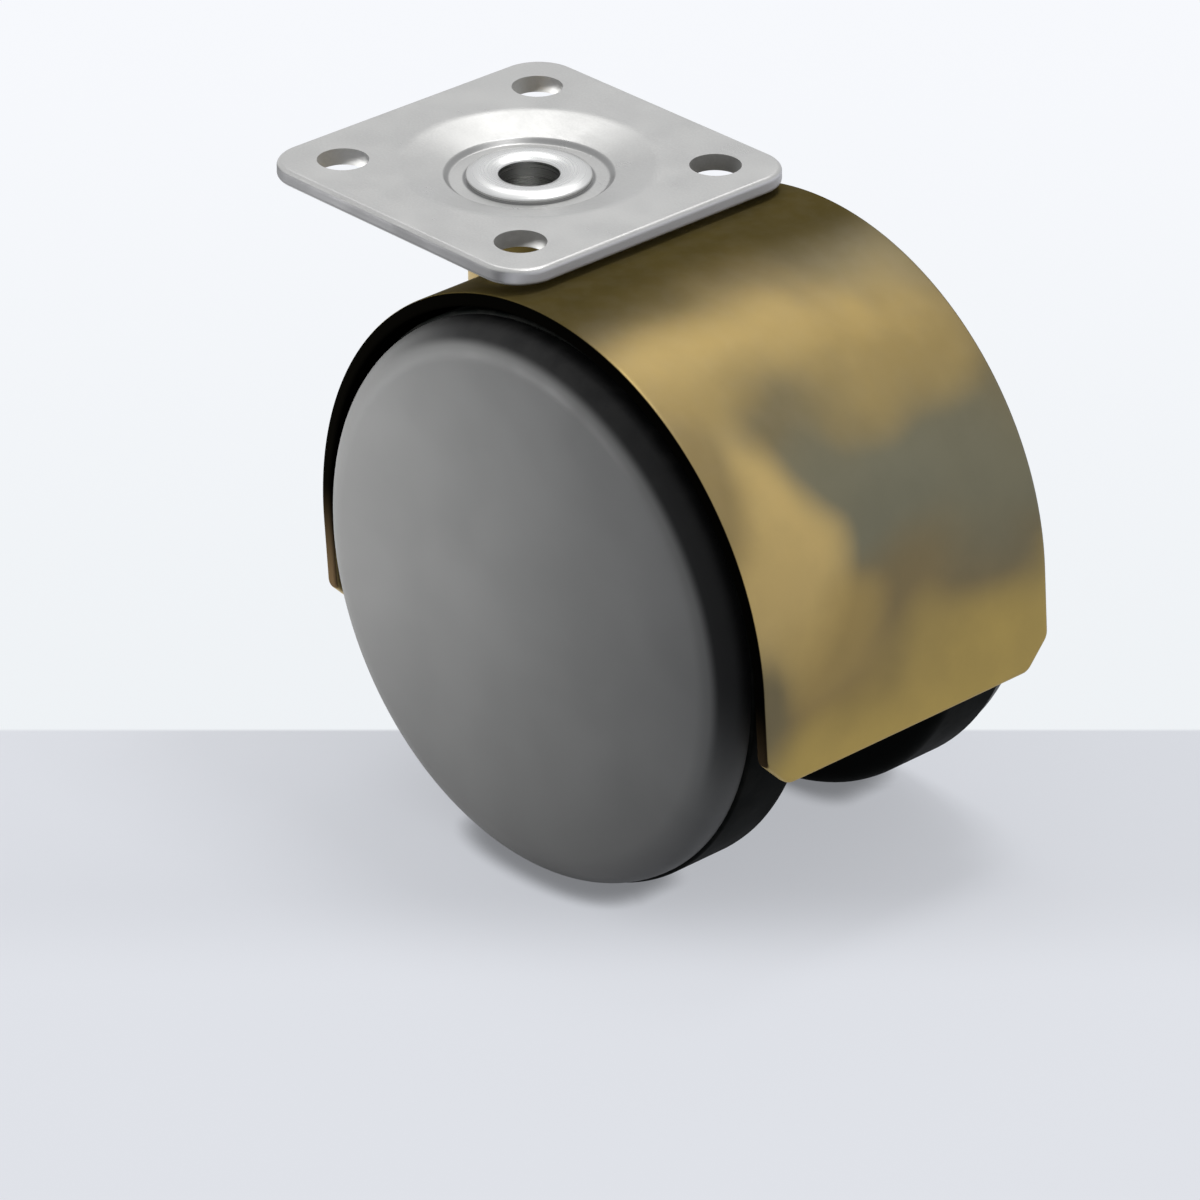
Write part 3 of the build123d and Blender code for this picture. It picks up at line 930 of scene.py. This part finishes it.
def smooth(piece: Piece, sharp_degrees: float = 32.0) -> None:
    """Shades a solid smooth, with its true edges kept sharp.

    Args:
        piece: the solid's object.
        sharp_degrees: an edge that turns by more stays sharp.
    """
    with bpy.context.temp_override(object=piece, active_object=piece, selected_editable_objects=[piece]):
        bpy.ops.object.shade_smooth_by_angle(angle=math.radians(sharp_degrees))


@dataclass(frozen=True)
class Corner:
    """A corner of a flat outline, rounded or sharp.

    Attributes:
        across: its first coordinate.
        up: its second coordinate.
        radius: of its rounding, or 0 for a sharp corner.
    """

    across: float
    up: float
    radius: float = 0.0


def rounded(
    corners: list[Corner], steps: int = 8, support: float = 0.15 * MM, closed: bool = True
) -> list[Vector]:
    """The points of an outline whose corners are rounded.

    Args:
        corners: its corners, in order.
        steps: how many lengths each rounding is made of.
        support: how far past a rounding an extra point keeps the flat beside it flat.
        closed: whether the last corner joins the first.

    Returns:
        The points, in order.
    """
    points: list[Vector] = []
    count = len(corners)
    for index, corner in enumerate(corners):
        here = Vector((corner.across, corner.up))
        if not corner.radius or (not closed and index in (0, count - 1)):
            points.append(here)
            continue
        before = corners[index - 1]
        after = corners[(index + 1) % count]
        back = (Vector((before.across, before.up)) - here).normalized()
        ahead = (Vector((after.across, after.up)) - here).normalized()
        half = back.angle(ahead) / 2
        reach = corner.radius / math.tan(half)
        centre = here + (back + ahead).normalized() * (corner.radius / math.sin(half))
        start = here + back * reach
        end = here + ahead * reach
        points.append(start + back * support)
        sweep = (start - centre).angle_signed(end - centre)
        for step in range(steps + 1):
            points.append(centre + turned(start - centre, -sweep * step / steps))
        points.append(end + ahead * support)
    return points


def turned(arm: Vector, angle: float) -> Vector:
    """A flat vector, turned by an angle."""
    return Vector((
        arm.x * math.cos(angle) - arm.y * math.sin(angle),
        arm.x * math.sin(angle) + arm.y * math.cos(angle),
    ))


def make_piece(name: str, points: list[Vector], faces: list[tuple[int, ...]]) -> Piece:
    """Makes one solid from its points and faces.

    Args:
        name: the piece's name.
        points: its corners.
        faces: the corners of each face.

    Returns:
        The piece, smooth but for its true edges.
    """
    mesh = bpy.data.meshes.new(name)
    mesh.from_pydata([tuple(point) for point in points], [], faces)
    solid = bmesh.new()
    solid.from_mesh(mesh)
    bmesh.ops.recalc_face_normals(solid, faces=solid.faces)
    solid.to_mesh(mesh)
    solid.free()
    piece = bpy.data.objects.new(name, mesh)
    bpy.context.scene.collection.objects.link(piece)
    smooth(piece)
    return piece


def turn_piece(name: str, profile: list[Vector], axis: Axis, centre: Triple, steps: int = 144) -> Piece:
    """Turns a closed profile about an axis.

    Args:
        name: the piece's name.
        profile: its points, each the distance along the axis and the distance from it.
        axis: what it is turned about.
        centre: the point on the axis from which the profile's first coordinate is measured.
        steps: how many flats make the round.

    Returns:
        The turned piece.
    """
    along = Vector(axis.value)
    first = Vector((1.0, 0.0, 0.0))
    second = along.cross(first)
    points: list[Vector] = []
    rows: list[list[int]] = []
    for point in profile:
        row = []
        rounds = steps if point.y > 0.001 * MM else 1
        for step in range(rounds):
            angle = 2 * math.pi * step / steps
            arm = first * math.cos(angle) + second * math.sin(angle)
            row.append(len(points))
            points.append(Vector(centre) + along * point.x + arm * (point.y if rounds > 1 else 0.0))
        rows.append(row * steps if rounds == 1 else row)
    faces = []
    for here, there in zip(rows, rows[1:] + rows[:1]):
        for step in range(steps):
            after = (step + 1) % steps
            ring = (here[step], here[after], there[after], there[step])
            corners = tuple(dict.fromkeys(ring))
            if len(corners) > 2:
                faces.append(corners)
    return make_piece(name, points, faces)


@dataclass
class SubAssembly:
    """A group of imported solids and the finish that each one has."""

    finishes: dict[str, Finish] = field(default_factory=dict)

    def build(self) -> None:
        """Dresses each solid of the group with its finish."""
        for node, finish in self.finishes.items():
            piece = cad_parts[node]
            piece.data.materials.clear()
            piece.data.materials.append(finish.material())
            smooth(piece)
            LOG.info("%s: %s", node, finish.name)

    def fit(self, piece: Piece, finish: Finish, body: str, slot: str) -> None:
        """Dresses a new piece and joins it to the body that it moves with.

        Args:
            piece: the new piece.
            finish: its finish.
            body: the body that carries it.
            slot: not used.
        """
        piece.data.materials.append(finish.material())
        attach(piece, body)
        LOG.info("%s: %s", piece.name, finish.name)


@dataclass
class Mounting(SubAssembly):
    """The fixed part: pressed plate, rolled kingpin, and the ring and washer on its foot."""

    finishes: dict[str, Finish] = field(
        default_factory=lambda: {
            "top_plate": ZINC,
            "kingpin": BRIGHT_ZINC,
            "retaining_ring": SPRING,
            "foot_washer": BRIGHT_ZINC,
        }
    )


@dataclass
class SwivelBody(SubAssembly):
    """The hood casting with its bearing, axle and the caps that keep the wheels on.

    Attributes:
        outer_radius: of the arch, to the face of its plating.
        inner_radius: of the arch, to its inside.
        half_width: from its middle to the face of its rim.
        skirt: the flat skirts below the arch.
        tilt_degrees: how far it leans back about its own axis.
        corner_cut: off each lower corner of the skirts.
        corner_radius: at the ends of that cut.
        edge_radius: along every edge.
    """

    finishes: dict[str, Finish] = field(
        default_factory=lambda: {
            "hood_body": BRASS,
            "swivel_bush": BRONZE,
            "thrust_washer": SPRING,
            "axle": GROUND,
            "spacer_washer_left": AXLE_ZINC,
            "spacer_washer_right": AXLE_ZINC,
            "push_cap_left": AXLE_SPRING,
            "push_cap_right": AXLE_SPRING,
        }
    )
    outer_radius: float = 32.44 * MM
    inner_radius: float = 31.0 * MM
    half_width: float = 19.63 * MM
    skirt: float = 10.33 * MM
    tilt_degrees: float = 4.5
    corner_cut: float = 3.0 * MM
    corner_radius: float = 1.6 * MM
    edge_radius: float = 0.45 * MM

    def build(self) -> None:
        """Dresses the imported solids, and lays the smooth plated shell over the casting's wall."""
        super().build()
        self.fit(self.shell(), BRASS, "swivel_body", "antique_brass")

    @property
    def length(self) -> float:
        """The wall's length round the arch, from the end of one skirt to that of the other."""
        return 2 * self.skirt + math.pi * self.outer_radius

    def on_wall(self, along: float, across: float, depth: float) -> Vector:
        """A point in the wall.

        Args:
            along: the distance round the arch from the front skirt's end.
            across: the distance along the axle from the middle.
            depth: how far in from the plated face.

        Returns:
            The point in the castor's frame.
        """
        radius = self.outer_radius - depth
        past = along - self.skirt
        round_length = math.pi * self.outer_radius
        angle = math.pi * (1 - min(max(past / round_length, 0.0), 1.0))
        drop = max(-past, past - round_length, 0.0)
        flat = Vector((radius * math.cos(angle), radius * math.sin(angle) - drop))
        leant = turned(flat, math.radians(self.tilt_degrees))
        return Vector(HOOD_CENTRE) + Vector((leant.x, across, leant.y))

    def outline(self) -> list[tuple[Vector, Vector]]:
        """Half of the wall's outline, from one skirt's end to the other.

        Returns:
            Each point as its distance round the arch and across it, with its outward direction.
        """
        cut = self.corner_cut
        corners = [
            Corner(0.0, 0.0),
            Corner(0.0, self.half_width - cut, self.corner_radius),
            Corner(cut, self.half_width, self.corner_radius),
            Corner(self.length - cut, self.half_width, self.corner_radius),
            Corner(self.length, self.half_width - cut, self.corner_radius),
            Corner(self.length, 0.0),
        ]
        found = rounded(corners, steps=5, closed=False)[1:-1]
        longest = max(range(len(found) - 1), key=lambda index: (found[index + 1] - found[index]).length)
        rounds = 150
        side = [found[longest].lerp(found[longest + 1], step / rounds) for step in range(1, rounds)]
        found = found[: longest + 1] + side + found[longest + 1 :]
        result = []
        for index, point in enumerate(found):
            before = found[index - 1] if index else Vector((0.0, 0.0))
            after = found[index + 1] if index + 1 < len(found) else Vector((self.length, 0.0))
            back = (point - before).normalized()
            ahead = (after - point).normalized()
            run = (back + ahead).normalized()
            result.append((point, Vector((-run.y, run.x))))
        return result

    def shell(self) -> Piece:
        """The hood's wall: a slab bent round the arch, with every edge rounded.

        Returns:
            The shell.
        """
        thickness = self.outer_radius - self.inner_radius
        radius = self.edge_radius
        steps = 5
        rings = [(radius + 0.25 * MM, 0.0)]
        for step in range(steps + 1):
            angle = math.pi / 2 * step / steps
            rings.append((radius * (1 - math.sin(angle)), radius * (1 - math.cos(angle))))
        rings += [(inset, thickness - depth) for inset, depth in reversed(rings)]
        half = self.outline()
        other = [(Vector((point.x, -point.y)), Vector((out.x, -out.y))) for point, out in reversed(half)]
        both = half + other
        points = [
            self.on_wall(point.x - inset * out.x, point.y - inset * out.y, depth)
            for inset, depth in rings
            for point, out in both
        ]
        count = len(both)
        faces = []
        for ring in range(len(rings) - 1):
            for index in range(count):
                after = (index + 1) % count
                low, high = ring * count, (ring + 1) * count
                faces.append((low + index, low + after, high + after, high + index))
        for base in (0, (len(rings) - 1) * count):
            for index in range(len(half) - 1):
                mirrored = count - 1 - index
                faces.append((base + index, base + index + 1, base + mirrored - 1, base + mirrored))
        return make_piece("hood_shell", points, faces)


@dataclass
class Wheel(SubAssembly):
    """One wheel: moulded nylon, soft tread and disc cover.

    Attributes:
        side: which wheel of the pair.
        cover_edge_radius: the rounding of the cover's rim.
        cover_wall: the cover's thickness.
        lip_reach: how far the cover's lip reaches past its shoulder.
        lip_radius: of the lip that snaps into the wheel's rim.
        lip_wall: the lip's thickness.
        rim_radius: of the rim that the tread sits on.
        tread_inner_round: the tread's corner on the side of the body.
        tread_outer_round: the tread's corner beside the cover.
    """

    side: Side = Side.LEFT
    cover_edge_radius: float = 3.8 * MM
    cover_wall: float = 1.5 * MM
    lip_reach: float = 1.4 * MM
    lip_radius: float = 24.35 * MM
    lip_wall: float = 1.3 * MM
    rim_radius: float = 26.4 * MM
    tread_inner_round: float = 1.4 * MM
    tread_outer_round: float = 0.35 * MM

    def __post_init__(self) -> None:
        """Names this side's solids."""
        self.finishes = {f"wheel_{self.side.word}": NYLON}

    def build(self) -> None:
        """Dresses the moulded wheel, and turns its cover and tread."""
        super().build()
        word = self.side.word
        for piece, finish, node, slot in (
            (self.cover(), COVER, f"wheel_cover_{word}", "grey_cover"),
            (self.tread(), TREAD, f"tread_{word}", "soft_tread"),
        ):
            self.fit(piece, finish, f"{word}_wheel", slot)
            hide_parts(node)

    def span(self, node: str) -> tuple[float, float, float]:
        """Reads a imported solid's place.

        Args:
            node: the solid's name.

        Returns:
            Its nearer and further distance from the middle of the castor, and its radius.
        """
        low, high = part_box(node)
        reach = sorted((abs(low[1]), abs(high[1])))
        return reach[0], reach[1], (high[2] - low[2]) / 2

    def turn(self, name: str, corners: list[Corner], steps: int) -> Piece:
        """Turns a profile about the axle, on this wheel's side.

        Args:
            name: the piece's name, without its side.
            corners: the profile, with distances from the middle of the castor.
            steps: how finely its corners are rounded.

        Returns:
            The piece.
        """
        profile = [Vector((point.x * self.side.value, point.y)) for point in rounded(corners, steps)]
        return turn_piece(f"{name}_{self.side.word}", profile, Axis.AXLE, AXLE_CENTRE)

    def cover(self) -> Piece:
        """The disc cover, with its rounded rim of even wall and its lip."""
        _, face, radius = self.span(f"wheel_cover_{self.side.word}")
        back = face - self.cover_wall
        shoulder = face - self.cover_edge_radius
        lip_end = shoulder - self.lip_reach
        corners = [
            Corner(face, 0.0),
            Corner(face, radius, self.cover_edge_radius - 0.2 * MM),
            Corner(shoulder, radius),
            Corner(shoulder, radius - self.cover_wall),
            Corner(back, radius - self.cover_wall, self.cover_edge_radius - self.cover_wall - 0.2 * MM),
            Corner(back, self.lip_radius),
            Corner(lip_end, self.lip_radius),
            Corner(lip_end, self.lip_radius - self.lip_wall),
            Corner(back, self.lip_radius - self.lip_wall),
            Corner(back, 0.0),
        ]
        return self.turn("disc_cover", corners, 14)

    def tread(self) -> Piece:
        """The soft tread, with its rounded corners."""
        inner, outer, radius = self.span(f"tread_{self.side.word}")
        corners = [
            Corner(inner, self.rim_radius),
            Corner(inner, radius, self.tread_inner_round),
            Corner(outer, radius, self.tread_outer_round),
            Corner(outer, self.rim_radius),
        ]
        return self.turn("soft_tread", corners, 6)


@dataclass(frozen=True)
class Lamp:
    """One soft lamp of the studio.

    Attributes:
        name: the lamp's name.
        place: where it hangs.
        target: what it points at.
    """

    name: str
    place: Triple
    target: Triple

    def hang(self) -> None:
        """Adds the lamp to the scene, unseen by the camera itself."""
        lamp = bpy.data.objects.new(self.name, self.data())
        lamp.location = self.place
        aim = Vector(self.target) - Vector(self.place)
        lamp.rotation_euler = aim.to_track_quat("-Z", "Y").to_euler()
        lamp.visible_camera = False
        bpy.context.scene.collection.objects.link(lamp)

    def data(self) -> bpy.types.Light:
        """The lamp's own kind and power.

        Returns:
            The light's data.
        """
        raise NotImplementedError


@dataclass(frozen=True)
class Softbox(Lamp):
    """A broad flat lamp.

    Attributes:
        size: its width and height.
        radiance: how bright its face is, where 1 is white.
    """

    size: tuple[float, float]
    radiance: float

    def data(self) -> bpy.types.Light:
        """A rectangle of even brightness."""
        data = bpy.data.lights.new(self.name, "AREA")
        data.shape = "RECTANGLE"
        data.size, data.size_y = self.size
        data.energy = self.radiance * math.pi * self.size[0] * self.size[1]
        return data


@dataclass(frozen=True)
class SoftSpot(Lamp):
    """A lamp whose light falls off softly from the middle of its cone to the edge.

    Attributes:
        level: the light that it gives where it points, where 1 lights white to white.
        half_cone_degrees: from the middle of the cone to its edge.
        source_radius: of the lamp itself.
    """

    level: float
    half_cone_degrees: float
    source_radius: float

    def data(self) -> bpy.types.Light:
        """A cone of light with a wholly soft edge."""
        data = bpy.data.lights.new(self.name, "SPOT")
        throw = (Vector(self.target) - Vector(self.place)).length
        data.energy = self.level * math.pi * throw * throw * 4 * math.pi
        data.spot_size = math.radians(2 * self.half_cone_degrees)
        data.spot_blend = 1.0
        data.shadow_soft_size = self.source_radius
        return data


@dataclass
class Studio:
    """The pale floor and backdrop, the soft lamps, the world and the camera.

    Attributes:
        floor_z: the floor's height.
        floor_half: half its side.
        floor_colour: in front of the line where floor and backdrop meet.
        wall_colour: of the backdrop, high up.
        wall_low_colour: of the backdrop, along that line.
        camera_place: where the camera stands.
        camera_aim: the direction in which it looks.
        lens_mm: its focal length.
        sensor_mm: its sensor's width.
        wall_distance: from the camera to the line, level.
        low_fill: the room's light from the side.
        high_fill: the room's light from above.
        lit_share: how much of the floor's look comes from the lamps, round the object.
        near_lit_share: the same, well in front of the object.
        shade_reach: how far in front of the line the share changes from one to the other.
        contact_reach: how close a piece has to be to shade the floor that it touches.
        contact_shade: what is left of the floor's colour there.
        lamps: the soft lamps.
    """

    floor_z: float = CAD_BOX[0][2]
    floor_half: float = 3.0
    floor_colour: Colour = (0.77, 0.79, 0.84)
    wall_colour: Colour = (0.93, 0.945, 0.98)
    wall_low_colour: Colour = (0.855, 0.885, 0.91)
    camera_place: Triple = (0.47425, -0.43154, 0.29278)
    camera_aim: Triple = (-0.6457, 0.6008, -0.4714)
    lens_mm: float = 210.0
    sensor_mm: float = 36.0
    wall_distance: float = 0.6394
    low_fill: float = 0.2
    high_fill: float = 0.56
    lit_share: float = 0.42
    near_lit_share: float = 0.12
    shade_reach: tuple[float, float] = (52.0 * MM, 32.0 * MM)
    contact_reach: float = 3.0 * MM
    contact_shade: float = 0.42
    lamps: tuple[Lamp, ...] = (
        Softbox("rear_softbox", (-0.22, 0.26, 0.46), (0.0, 0.0, 0.0), (0.40, 0.22), 1.9),
        Softbox("top_softbox", (0.05, 0.1, 0.42), (0.02, 0.0, -0.03), (0.12, 0.12), 13.0),
        SoftSpot("left_spot", (-0.12, -0.19, -0.045), (-0.020, -0.022, -0.034), 3.7, 15.5, 0.03),
    )

    def build(self) -> None:
        """Sets up the whole studio."""
        self.lay_floor()
        self.set_world()
        for lamp in self.lamps:
            lamp.hang()
        self.set_camera()
        bpy.context.scene.view_settings.view_transform = "Standard"
        LOG.info("studio: floor, %d lamps, world and camera", len(self.lamps))

    def lay_floor(self) -> None:
        """The floor, in two tones that meet along a line behind the object, as the backdrop does."""
        half = self.floor_half
        mesh = bpy.data.meshes.new("studio_floor")
        corners = [(x * half, y * half, self.floor_z) for x, y in ((-1, -1), (1, -1), (1, 1), (-1, 1))]
        mesh.from_pydata(corners, [], [(0, 1, 2, 3)])
        floor = bpy.data.objects.new("studio_floor", mesh)
        bpy.context.scene.collection.objects.link(floor)
        mesh.materials.append(self.floor_material())

    def floor_material(self) -> bpy.types.Material:
        """The floor's matt material, which the backdrop shares past the line where they meet.

        Returns:
            The material, with its two tones.
        """
        material = bpy.data.materials.new("studio_floor")
        material.use_nodes = True
        tree = Tree(material.node_tree)
        shader = material.node_tree.nodes["Principled BSDF"]
        shader.inputs["Roughness"].default_value = 0.9
        shader.inputs["Specular IOR Level"].default_value = 0.1
        level = math.hypot(self.camera_aim[0], self.camera_aim[1])
        ahead = (self.camera_aim[0] / level, self.camera_aim[1] / level, 0.0)
        offset = tree.vector("SUBTRACT", tree.place(), self.camera_place)
        distance = tree.measure("DOT_PRODUCT", offset, ahead)
        line = self.wall_distance
        beyond = tree.ease(distance, line - 0.4 * MM, line + 0.4 * MM)
        rise = tree.ease(distance, line - 50.0 * MM, line + 200.0 * MM)
        wall = tree.blend(rise, opaque(self.wall_low_colour), opaque(self.wall_colour))
        shadow = tree.add("ShaderNodeAmbientOcclusion", {"Distance": self.contact_reach}).outputs["AO"]
        contact = tree.ease(shadow, 0.3, 0.95, self.contact_shade, 1.0)
        colour = tree.blend(beyond, tree.scaled(self.floor_colour, contact), wall)
        tree.feed(shader.inputs["Base Color"], colour)
        # where the camera sees it the floor glows in its own colour, more so well in front of the object:
        # painted light that lightens the object's shadow there
        glow = tree.add("ShaderNodeEmission", {"Color": colour, "Strength": 1.0}).outputs[0]
        near, far = (line - reach for reach in self.shade_reach)
        lit = tree.ease(distance, near, far, self.near_lit_share, self.lit_share)
        own = tree.sum("SUBTRACT", 1.0, tree.times(lit, tree.sum("SUBTRACT", 1.0, beyond)))
        share = tree.times(self.seen(tree), own)
        mixed = tree.add("ShaderNodeMixShader", {0: share, 1: shader.outputs[0], 2: glow}).outputs[0]
        tree.feed(material.node_tree.nodes["Material Output"].inputs["Surface"], mixed)
        return material

    def seen(self, tree: Tree) -> Socket:
        """One where the camera sees a surface, straight, mirrored or through another, and else nothing."""
        path = tree.add("ShaderNodeLightPath").outputs
        mirrored = tree.sum("MAXIMUM", path["Is Glossy Ray"], path["Is Transmission Ray"])
        return tree.sum("MAXIMUM", path["Is Camera Ray"], mirrored)

    def set_world(self) -> None:
        """A plain white room: full strength where it is seen or mirrored, less and from above as light."""
        world = bpy.data.worlds.new("studio_world")
        bpy.context.scene.world = world
        world.use_nodes = True
        tree = Tree(world.node_tree)
        background = world.node_tree.nodes["Background"]
        direction = tree.split(tree.add("ShaderNodeTexCoord").outputs["Generated"])
        fill = tree.ease(direction["Z"], 0.0, 1.0, self.low_fill, self.high_fill)
        background.inputs["Color"].default_value = opaque((0.95, 0.96, 0.98))
        lit = tree.sum("SUBTRACT", 1.0, self.seen(tree))
        dimmed = tree.times(lit, tree.sum("SUBTRACT", 1.0, fill))
        tree.feed(background.inputs["Strength"], tree.sum("SUBTRACT", 1.0, dimmed))

    def set_camera(self) -> None:
        """The camera, at the photograph's viewing angle."""
        data = bpy.data.cameras.new("camera")
        data.lens = self.lens_mm
        data.sensor_width = self.sensor_mm
        data.clip_start = 0.01
        camera = bpy.data.objects.new("camera", data)
        camera.location = self.camera_place
        camera.rotation_euler = Vector(self.camera_aim).to_track_quat("-Z", "Y").to_euler()
        bpy.context.scene.collection.objects.link(camera)
        bpy.context.scene.camera = camera


def main() -> None:
    """Builds the castor's sub-assemblies and the studio, in order."""
    logging.basicConfig(level=logging.INFO, format="%(name)s: %(message)s")
    Mounting().build()
    SwivelBody().build()
    Wheel(side=Side.LEFT).build()
    Wheel(side=Side.RIGHT).build()
    Studio().build()


if __name__ == "__main__":
    main()
